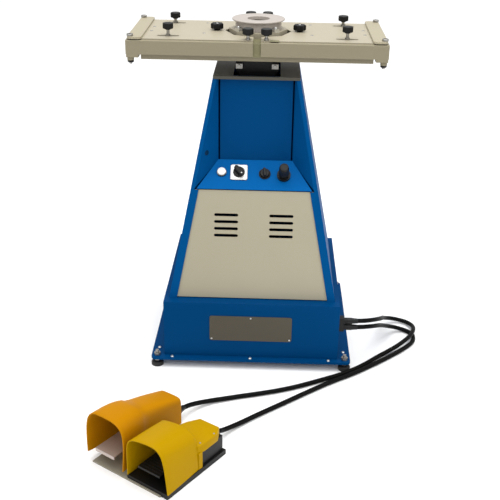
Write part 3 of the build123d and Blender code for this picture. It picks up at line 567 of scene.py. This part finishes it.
def makeScrews():
    drive, driveFloor = polygonReach(0.0044), polygonReach(0.0042)
    front = Matrix.Rotation(pi / 2, 4, "X")  # turns +Z to the front
    z = baseTop
    base = [at(x, -0.2525, z) for x in (-0.228, -0.002, 0.225)]
    base += [at(x, y, z) for y in (-0.204, 0.204) for x in (-0.270, 0.270)]
    base += [at(x, 0.2525, z) for x in (-0.228, 0.0, 0.228)]
    heads = merged([panHead(p, screwHeads["base"]) for p in base])
    piece("base_screws", *heads, "press", "zinc", "zincPlate")
    plate = [at(x, -0.2454, z) @ front for x, z in ((-0.002, 0.1585), (-0.114, 0.0905), (0.110, 0.0905))]
    heads = merged([panHead(p, screwHeads["namePlate"]) for p in plate])
    piece("name_plate_screws", *heads, "press", "zinc", "zincPlate")
    for sideName, side in (("left", -1), ("right", 1)):
        spots = [at(side * x, y, plateTop)
                 for x, y in ((0.146, -0.048), (0.146, 0.097), (0.290, -0.030), (0.290, 0.030))]
        profile = [(-0.0002, 0.0046), (0.0005, 0.0044), (0.0005, drive), (0.0002, driveFloor)]
        heads = [turned(profile, p, 32) for p in spots]
        body = sideName + "_table"
        piece(sideName + "_plate_screws", *merged(heads), body, "zinc", "groundSteel")
        # black discs in the screw sockets: painted shade in the recesses
        socketShade = [turned([(0.0002, driveFloor), (0.0003, driveFloor)], p, 24) for p in spots]
        piece(sideName + "_plate_screw_socket_shade", *merged(socketShade), body, "black_steel", "blackPaint")
    # small flat stop at the front of the right half
    stop = boxParts((0.034, -0.1445, 0.9251), (0.058, -0.128, 0.9262), at(0.0, 0.0, 0.0))
    piece("table_stop_plate", *stop, "right_table", "olive_paint", "olivePaint")
    clamps = [Matrix.Rotation(radians(42.0 + 90.0 * k), 4, "Z") @ at(0.0705, 0.0, 0.941) for k in range(4)]
    bolts = merged([socketHead(p, 0.0042, 0.004, 0.0034) for p in clamps])
    piece("ring_clamp_bolts", *bolts, "press", "zinc", "zincPlate")


def makeCheekPlug():
    # round plug that closes a hole in the left cheek of the recess
    outward = Vector((0.765, -0.645, 0.05)).to_track_quat("Z", "Y").to_matrix().to_4x4()
    place = at(-0.1343, -0.1262, 0.612) @ outward
    plug = turned([(-0.001, 0.0072), (0.0008, 0.0072), (0.0012, 0.0066)], place, 48)
    piece("cheek_plug", *plug, "press", "blue_paint", "plugBlue")


makeCornerBolts()
makeScrews()
makeCheekPlug()
print("screws made")


# ---- control shelf

shelfRear = Vector((0.0, -0.090, 0.582))
shelfSlope = math.atan2(0.0635, 0.0685)
shelfPlace = Matrix.Translation(shelfRear) @ Matrix.Rotation(shelfSlope, 4, "X")
# each control's middle on the shelf, across and down from the middle of its rear edge
controls = dict(button=(-0.093, -0.0415), cam=(-0.0445, -0.041), selector=(0.0275, -0.044),
                regulator=(0.081, -0.048))


def onShelf(control):
    return shelfPlace @ at(*controls[control], 0.0)


def makeControls():
    ring = [(0.0, 0.0105), (0.0, 0.0131), (0.0006, 0.0135), (0.0020, 0.0134), (0.0031, 0.0126),
            (0.0031, 0.0112), (0.0026, 0.0107), (0.0004, 0.0106)]
    piece("button_ring", *turned(ring, onShelf("button"), 64), "press", "zinc", "dullZinc")
    collar = [(0.0, 0.0072), (0.0, 0.0162), (0.0012, 0.0166), (0.0030, 0.0158), (0.0042, 0.0140),
              (0.0040, 0.0136)]
    selector = turned(collar, onShelf("selector"), 64)
    piece("selector_ring", *selector, "press", "black_plastic", "bezelPlastic")
    # the lens widens only above its bezel, with room for the button's stroke
    lens = [(-0.012, 0.0100), (0.0071, 0.0102), (0.0075, 0.0112), (0.0078, 0.0116), (0.0084, 0.0114),
            (0.0093, 0.0100), (0.0098, 0.0076), (0.0101, 0.0030)]
    cap = turned(lens, onShelf("button"), 64)
    piece("push_button_lens", *cap, "button", "white_lens", "lensPlastic", ["push_button"])
    makeCamSwitch()
    makeSelector()
    makeRegulator()


def capsule(length, width):
    # reach of a rounded bar, long along the local y axis
    half = width / 2
    straight = length / 2 - half

    def reach(angle):
        c, s = abs(cos(angle)), abs(sin(angle))
        side = half / max(c, 1e-6)
        if side * s <= straight:
            return side
        return straight * s + math.sqrt(max(0.0, half * half - (straight * c) ** 2))
    return reach


def roundedSquare(side, corner=0.004):
    # reach of a square with rounded corners
    half = side / 2
    straight = half - corner

    def reach(angle):
        c, s = abs(cos(angle)), abs(sin(angle))
        flat = half / max(c, s)
        if flat * min(c, s) <= straight:
            return flat
        along = straight * (c + s)
        return along + math.sqrt(max(0.0, along * along - 2 * straight * straight + corner * corner))
    return reach


camTurn = radians(40.0)
camPlate = dict(side=0.0480, face=0.0470, frame=0.0222, line=0.0004, frameEnd=0.0225)


def makeCamSwitch():
    place = onShelf("cam")
    skirt = [(0.0034, 0.0160), (0.0040, 0.0165), (0.0062, 0.0163), (0.0074, 0.0150), (0.0074, 0.0100)]
    turn = place @ Matrix.Rotation(camTurn, 4, "Z")
    bar = [(0.0070, capsule(0.0350, 0.0140)), (0.0160, capsule(0.0346, 0.0130)),
           (0.0184, capsule(0.0334, 0.0118)), (0.0194, capsule(0.0310, 0.0096))]
    shaft = [(-0.010, 0.006), (0.0036, 0.006)]
    handle = merged([turned(skirt, place, 64), turned(bar, turn, 64), turned(shaft, place, 32)])
    piece("cam_switch_grip", *handle, "cam_handle", "black_plastic", "knobPlastic", ["cam_switch_handle"])
    mark = turned([(0.0190, 0.0016), (0.0196, 0.0015)], turn @ at(0.0, -0.0125, 0.0), 24)
    piece("cam_switch_pointer", *mark, "cam_handle", "white_lens", "markWhite")
    outline = roundedSquare(camPlate["side"])
    base = turned([(0.0, outline), (0.0022, outline)], place, 96)
    piece("cam_switch_base", *base, "press", "silver_plate", "bezelPlastic", ["cam_switch_plate"])
    face = roundedSquare(camPlate["face"])
    faceEdge = roundedSquare(camPlate["face"] - 0.0004)
    plate = turned([(0.0022, face), (0.0028, face), (0.0030, faceEdge)], place, 96)
    piece("cam_switch_face", *plate, "press", "silver_plate", "switchPlate")
    # a thin printed frame with a mark at each quarter turn
    frameAt, line, end = camPlate["frame"], camPlate["line"], camPlate["frameEnd"]
    low, high = 0.0028, 0.0032
    edge = [boxParts((-end, y - line, low), (end, y + line, high), place) for y in (-frameAt, frameAt)]
    edge += [boxParts((x - line, -end, low), (x + line, end, high), place) for x in (-frameAt, frameAt)]
    for step in range(4):
        spoke = place @ Matrix.Rotation(step * pi / 2 + camTurn, 4, "Z")
        edge.append(boxParts((-0.0005, 0.0176, low), (0.0005, 0.0208, high), spoke))
    piece("cam_switch_marks", *merged(edge), "press", "black_plastic", "bezelPlastic")


def makeSelector():
    place = onShelf("selector")
    base = [(0.0044, 0.0124), (0.0050, 0.0130), (0.0084, 0.0128), (0.0094, 0.0116), (0.0094, 0.0060)]
    bar = [(0.0090, capsule(0.0250, 0.0090)), (0.0170, capsule(0.0246, 0.0076)),
           (0.0184, capsule(0.0230, 0.0056))]
    shaft = [(-0.012, 0.0068), (0.0046, 0.0068)]
    turn = place @ Matrix.Rotation(radians(6.0), 4, "Z")
    parts = merged([turned(base, place, 64), turned(bar, turn, 64), turned(shaft, place, 32)])
    piece("selector_grip", *parts, "selector", "black_plastic", "knobPlastic", ["selector_handle"])


def makeRegulator():
    place = onShelf("regulator")
    nut = ribbed(0.0190, 0.0007, 40)
    ring = [(0.0, 0.0186), (0.0006, nut), (0.0066, nut), (0.0080, 0.0172), (0.0080, 0.0096), (0.0060, 0.0094)]
    piece("regulator_nut", *turned(ring, place, 160), "press", "black_plastic", "bezelPlastic")
    grip = ribbed(0.0140, 0.0008, 24)
    grooved = ribbed(0.0136, 0.0006, 24)
    profile = [(-0.020, 0.0088), (0.0082, 0.0088), (0.0086, 0.0128), (0.0100, 0.0138), (0.0170, 0.0138),
               (0.0178, 0.0126), (0.0196, 0.0126), (0.0204, 0.0138), (0.0214, grip), (0.0440, grooved),
               (0.0452, 0.0132), (0.0500, 0.0126), (0.0520, 0.0112), (0.0526, 0.0080), (0.0526, 0.0010)]
    knob = turned(profile, place, 144)
    piece("regulator_grip", *knob, "regulator", "black_plastic", "knobPlastic", ["regulator_knob"])


makeControls()
print("controls made")


# ---- work ring

workRing = dict(hole=0.0304, outer=0.0725, body=0.063, wall=0.007, low=0.932, top=0.960, around=128)


def makeRing():
    hole, outer, body = workRing["hole"], workRing["outer"], workRing["body"]
    low, top, around = workRing["low"], workRing["top"], workRing["around"]
    profile = [
        (low, body - workRing["wall"]), (low, body - 0.0006), (low + 0.0006, body),
        (top - 0.0060, body), (top - 0.0046, body + 0.0010), (top - 0.0040, body + 0.003),
        (top - 0.0040, outer - 0.0012), (top - 0.0032, outer - 0.0002), (top - 0.0020, outer),
        (top - 0.0007, outer - 0.0005), (top, outer - 0.0020), (top - 0.0002, outer - 0.0120),
        (top - 0.0003, outer - 0.0220), (top - 0.0005, hole + 0.0080), (top - 0.0008, hole + 0.0010),
        (top - 0.0012, hole + 0.0002), (top - 0.0020, hole), (top - 0.0100, hole),
        (top - 0.0100, body - workRing["wall"])]
    verts, faces = turned(profile, at(0.0, 0.0, 0.0), around)
    # the end caps give way to a band that closes the profile on itself
    faces = faces[:-2]
    last = (len(profile) - 1) * around
    for step in range(around):
        a, b = step, (step + 1) % around
        faces.append((last + a, last + b, b, a))
    piece("work_ring_turned", verts, faces, "press", "cream_paint", "ringPaint", ["work_ring"])


makeRing()
print("ring made")


# ---- pedal guards

def softened(rows, rounds=2):
    # corner cutting on a list of equal-length rows, with the end rows kept
    for _ in range(rounds):
        cut = [rows[0]]
        for a, b in zip(rows, rows[1:]):
            cut.append([p * 0.75 + q * 0.25 for p, q in zip(a, b)])
            cut.append([p * 0.25 + q * 0.75 for p, q in zip(a, b)])
        rows = cut + [rows[-1]]
    return rows


def hoodRows(sections, rounds):
    rows = []
    for v, outline in sections:
        points = [[Vector((u / 1000, v / 1000, z / 1000))] for u, z in outline]
        rows.append([p[0] for p in softened(points, rounds)])
    return rows


hoodSheet = dict(thickness=0.003, rim=0.0009)


def makeHood(name, sections, finish, slotName, nodes, closed):
    rows = softened(hoodRows(sections, 2), 1)
    verts = [pedalPlace @ p for row in rows for p in row]
    count = len(rows[0])
    faces = []
    for r in range(len(rows) - 1):
        for k in range(count - 1):
            a = r * count + k
            faces.append((a, a + 1, a + 1 + count, a + count))
    if closed:
        last = (len(rows) - 1) * count
        faces.append(tuple(range(last, last + count)))
    made = piece(name, verts, faces, "press", slotName, finish, nodes, smooth=40.0)
    shell = made.modifiers.new("sheet", "SOLIDIFY")
    shell.thickness = hoodSheet["thickness"]
    shell.offset = -1.0
    rim = made.modifiers.new("rim", "BEVEL")
    rim.width = hoodSheet["rim"]
    rim.segments = 2
    rim.limit_method = "ANGLE"
    rim.angle_limit = radians(50)


# from front to rear: v in mm, then the outline from left to right as (u, z) in mm
orangeSections = [
    (0.0, [(-21, 22), (-22, 70), (-18, 118), (0, 147), (38, 150),
           (80, 148), (101, 132), (106, 98), (103, 52), (99, 14)]),
    (55.0, [(-18, 16), (-18, 62), (-18, 112), (-4, 142), (34, 146),
            (74, 141), (91, 124), (96, 92), (94, 50), (92, 12)]),
    (96.0, [(-14, 14), (-14, 58), (-16, 108), (0, 134), (34, 136),
            (68, 131), (84, 114), (85, 84), (83, 48), (82, 10)]),
    (110.0, [(-13, 13), (-13, 54), (-13, 98), (0, 122), (34, 124),
             (64, 120), (75, 108), (77, 82), (76, 46), (75, 8)]),
    (180.0, [(-9, 12), (-9, 46), (-9, 84), (0, 103), (32, 105),
             (62, 103), (72, 94), (74, 72), (73, 44), (73, 6)]),
    (250.0, [(-6, 8), (-6, 38), (-6, 64), (1, 81), (32, 82),
             (62, 82), (70, 76), (71, 60), (71, 36), (71, 4)]),
]
yellowSections = [
    (0.0, [(112, 14), (112, 60), (113, 102), (125, 122), (158, 130),
           (200, 134), (222, 122), (232, 94), (238, 50), (242, 14)]),
    (60.0, [(112, 14), (112, 58), (113, 99), (122, 116), (156, 123),
            (196, 127), (222, 113), (232, 88), (237, 50), (240, 14)]),
    (122.0, [(113, 14), (113, 58), (113, 94), (119, 108), (152, 115),
             (190, 118), (222, 104), (231, 82), (236, 48), (237, 14)]),
]
makeHood("orange_guard_shell", orangeSections, "orangeCoat", "orange_plastic", ["orange_guard"], True)
makeHood("yellow_guard_hood", yellowSections, "yellowCoat", "yellow_plastic", ["yellow_guard"], False)


def makeLid():
    # cap over the yellow pedal's switch box
    outline = [(0.126, 0.118), (0.234, 0.118), (0.239, 0.140), (0.239, 0.190), (0.224, 0.215),
               (0.164, 0.215), (0.145, 0.183)]
    top = 0.080
    centre = Vector((0.177, 0.165, 0.0))
    rows = []
    for z, shrink in ((0.058, 0.0), (0.074, 0.0), (0.0785, 0.0015), (top, 0.0055)):
        row = []
        for u, v in outline:
            p = Vector((u, v, 0.0))
            row.append(p + (centre - p).normalized() * shrink + Vector((0, 0, z)))
        rows.append(row)
    verts = [pedalPlace @ p for row in rows for p in row]
    n = len(outline)
    faces = [tuple(reversed(range(n))), tuple(range(3 * n, 4 * n))]
    for r in range(3):
        for k in range(n):
            a, b = r * n + k, r * n + (k + 1) % n
            faces.append((a, b, b + n, a + n))
    wall = boxParts((0.2345, 0.118, 0.014), (0.2380, 0.132, 0.060), pedalPlace)
    piece("yellow_switch_lid", *merged([(verts, faces), wall]), "press", "yellow_plastic", "yellowCoat")
    bolts = [pedalPlace @ at(u, v, top) for u, v in ((0.229, 0.134), (0.232, 0.184))]
    piece("lid_screws", *merged([panHead(p, screwHeads["lid"]) for p in bolts]), "press", "zinc", "dullZinc")


makeLid()


treadRibs = dict(front=0.021, pitch=0.009, count=8, width=0.0028)


def makeTreads():
    # raised ribs across the yellow pedal's tread
    rows = [treadRibs["front"] + treadRibs["pitch"] * k for k in range(treadRibs["count"])]
    half = treadRibs["width"] / 2
    ribs = [boxParts((0.141, v - half, 0.0453), (0.203, v + half, 0.0464), pedalPlace) for v in rows]
    piece("yellow_tread_ribs", *merged(ribs), "yellow_tread", "black_plastic", "knobPlastic")


makeTreads()
print("pedals made")
